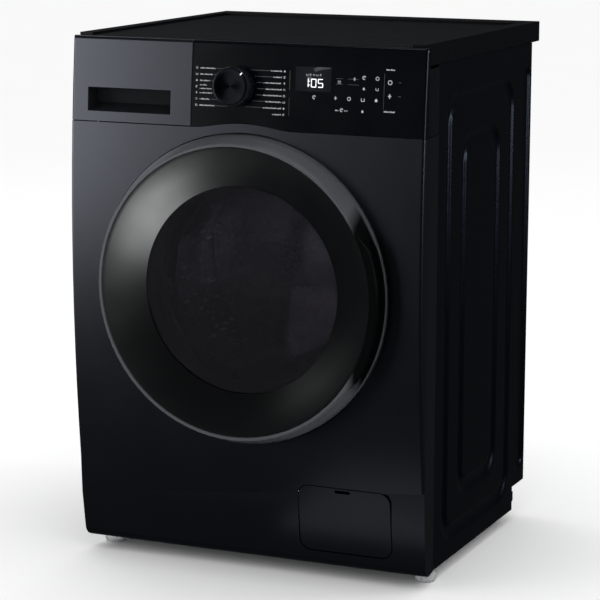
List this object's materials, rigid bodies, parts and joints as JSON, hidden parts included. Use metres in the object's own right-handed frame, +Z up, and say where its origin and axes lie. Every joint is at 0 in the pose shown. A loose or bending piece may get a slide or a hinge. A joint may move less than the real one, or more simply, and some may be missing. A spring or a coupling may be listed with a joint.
{
  "type": "front load washing machine",
  "caption": "Freestanding front load washing machine with a round glass door, control panel with programme knob, detergent drawer, service flap and sprung drum unit.",
  "frame": {"origin": "on the floor, under the middle of the machine's bounding box", "axes": "+X to the machine's right as seen from the front, +Y to the back, +Z up"},
  "size_m": [0.599, 0.602, 0.85],
  "materials": {
    "graphite_paint": "satin metallic paint",
    "gloss_black": "polished",
    "black_paint": "satin powder coat",
    "galvanised_steel": "galvanised",
    "stainless_steel": "brushed",
    "cast_aluminium": "as cast",
    "white_plastic": "moulded",
    "grey_plastic": "moulded",
    "black_plastic": "moulded",
    "dark_chrome": "dark chrome",
    "tinted_glass": "tinted, polished",
    "clear_glass": "clear",
    "grey_rubber": "moulded",
    "black_rubber": "moulded",
    "concrete": "cast concrete"
  },
  "bodies": {
    "cabinet": {"front_panel": "graphite_paint", "control_panel": "gloss_black", "left_side_panel": "black_paint", "right_side_panel": "black_paint", "back_panel": "black_paint", "base_tray": "black_plastic", "worktop_frame": "black_paint", "worktop_board": "graphite_paint", "front_crossbar": "galvanised_steel", "spring_rail": "galvanised_steel", "knob_encoder": "black_plastic", "control_board": "grey_plastic", "dispenser_housing": "white_plastic", "inlet_valve": "white_plastic", "drain_outlet": "grey_plastic", "mains_gland": "black_plastic", "door_hinge_bracket": "galvanised_steel", "door_lock": "black_plastic", "door_gasket": "grey_rubber", "flap_frame": "black_plastic", "drain_pump": "white_plastic", "damper_cylinder_left": "grey_plastic", "damper_cylinder_right": "grey_plastic", "suspension_spring_left": "galvanised_steel", "suspension_spring_right": "galvanised_steel", "sump_hose": "black_rubber"},
    "detergent_drawer": {"drawer_front": "graphite_paint", "drawer_tray": "white_plastic", "softener_insert": "grey_plastic"},
    "knob": {"programme_knob": "dark_chrome"},
    "door": {"door_ring": "dark_chrome", "door_cover": "tinted_glass", "door_bowl": "clear_glass", "door_inner_frame": "black_plastic", "door_hinge_knuckle": "galvanised_steel"},
    "latch": {"latch_hook": "galvanised_steel"},
    "flap": {"service_flap": "graphite_paint"},
    "filter": {"filter_cap": "grey_plastic"},
    "tub": {"tub_front": "white_plastic", "tub_rear": "white_plastic", "front_bearing": "galvanised_steel", "rear_bearing": "galvanised_steel", "counterweight": "concrete", "motor": "cast_aluminium", "heater": "stainless_steel", "damper_rod_left": "galvanised_steel", "damper_rod_right": "galvanised_steel", "drive_belt": "black_rubber"},
    "drum": {"drum": "stainless_steel", "lifter_1": "grey_plastic", "lifter_2": "grey_plastic", "lifter_3": "grey_plastic", "drum_spider": "cast_aluminium", "drum_pulley": "cast_aluminium"},
    "motor_rotor": {"motor_pulley": "galvanised_steel"},
    "foot_fl": {"foot_front_left": "white_plastic"},
    "foot_fr": {"foot_front_right": "white_plastic"},
    "foot_rl": {"foot_rear_left": "white_plastic"},
    "foot_rr": {"foot_rear_right": "white_plastic"}
  },
  "joints": [
    {"name": "door_hinge", "type": "hinge", "parent": "cabinet", "child": "door", "pos_m": [-0.224, -0.281, 0.461], "axis": [0, 0, -1], "range_deg": [0, 115]},
    {"name": "latch_pivot", "type": "hinge", "parent": "door", "child": "latch", "pos_m": [0.2065, -0.252, 0.461], "axis": [0, 0, 1], "range_deg": [0, 6], "stiffness_Nm_per_rad": 0.2, "springref_deg": -2.86},
    {"name": "drawer_slide", "type": "slide", "parent": "cabinet", "child": "detergent_drawer", "axis": [0, -1, 0], "range_m": [0, 0.2]},
    {"name": "knob_turn", "type": "hinge", "parent": "cabinet", "child": "knob", "pos_m": [-0.012, -0.25666, 0.777], "axis": [0, -0.9968, 0.0798], "continuous": true},
    {"name": "flap_hinge", "type": "hinge", "parent": "cabinet", "child": "flap", "pos_m": [0.166, -0.23374, 0.065], "axis": [1, 0, 0], "range_deg": [0, 90]},
    {"name": "filter_turn", "type": "hinge", "parent": "cabinet", "child": "filter", "pos_m": [0.19, -0.187, 0.098], "axis": [0, 1, 0], "range_deg": [0, 90]},
    {"name": "tub_bounce", "type": "slide", "parent": "cabinet", "child": "tub", "axis": [0, 0, 1], "range_m": [-0.006, 0.006], "stiffness_N_per_m": 30000, "deforming": ["suspension_spring_left", "suspension_spring_right", "sump_hose"]},
    {"name": "drum_spin", "type": "hinge", "parent": "tub", "child": "drum", "pos_m": [0, 0, 0.461], "axis": [0, 1, 0], "continuous": true},
    {"name": "motor_spin", "type": "hinge", "parent": "tub", "child": "motor_rotor", "pos_m": [0.03, 0.222, 0.125], "axis": [0, 1, 0], "continuous": true},
    {"name": "foot_turn_fl", "type": "hinge", "parent": "cabinet", "child": "foot_fl", "pos_m": [-0.276, -0.171, 0], "axis": [0, 0, 1], "continuous": true},
    {"name": "foot_turn_fr", "type": "hinge", "parent": "cabinet", "child": "foot_fr", "pos_m": [0.276, -0.171, 0], "axis": [0, 0, 1], "continuous": true},
    {"name": "foot_turn_rl", "type": "hinge", "parent": "cabinet", "child": "foot_rl", "pos_m": [-0.245, 0.219, 0], "axis": [0, 0, 1], "continuous": true},
    {"name": "foot_turn_rr", "type": "hinge", "parent": "cabinet", "child": "foot_rr", "pos_m": [0.245, 0.219, 0], "axis": [0, 0, 1], "continuous": true}
  ],
  "couplings": [
    {"joint": "motor_spin", "follows": "drum_spin", "ratio": 14}
  ]
}
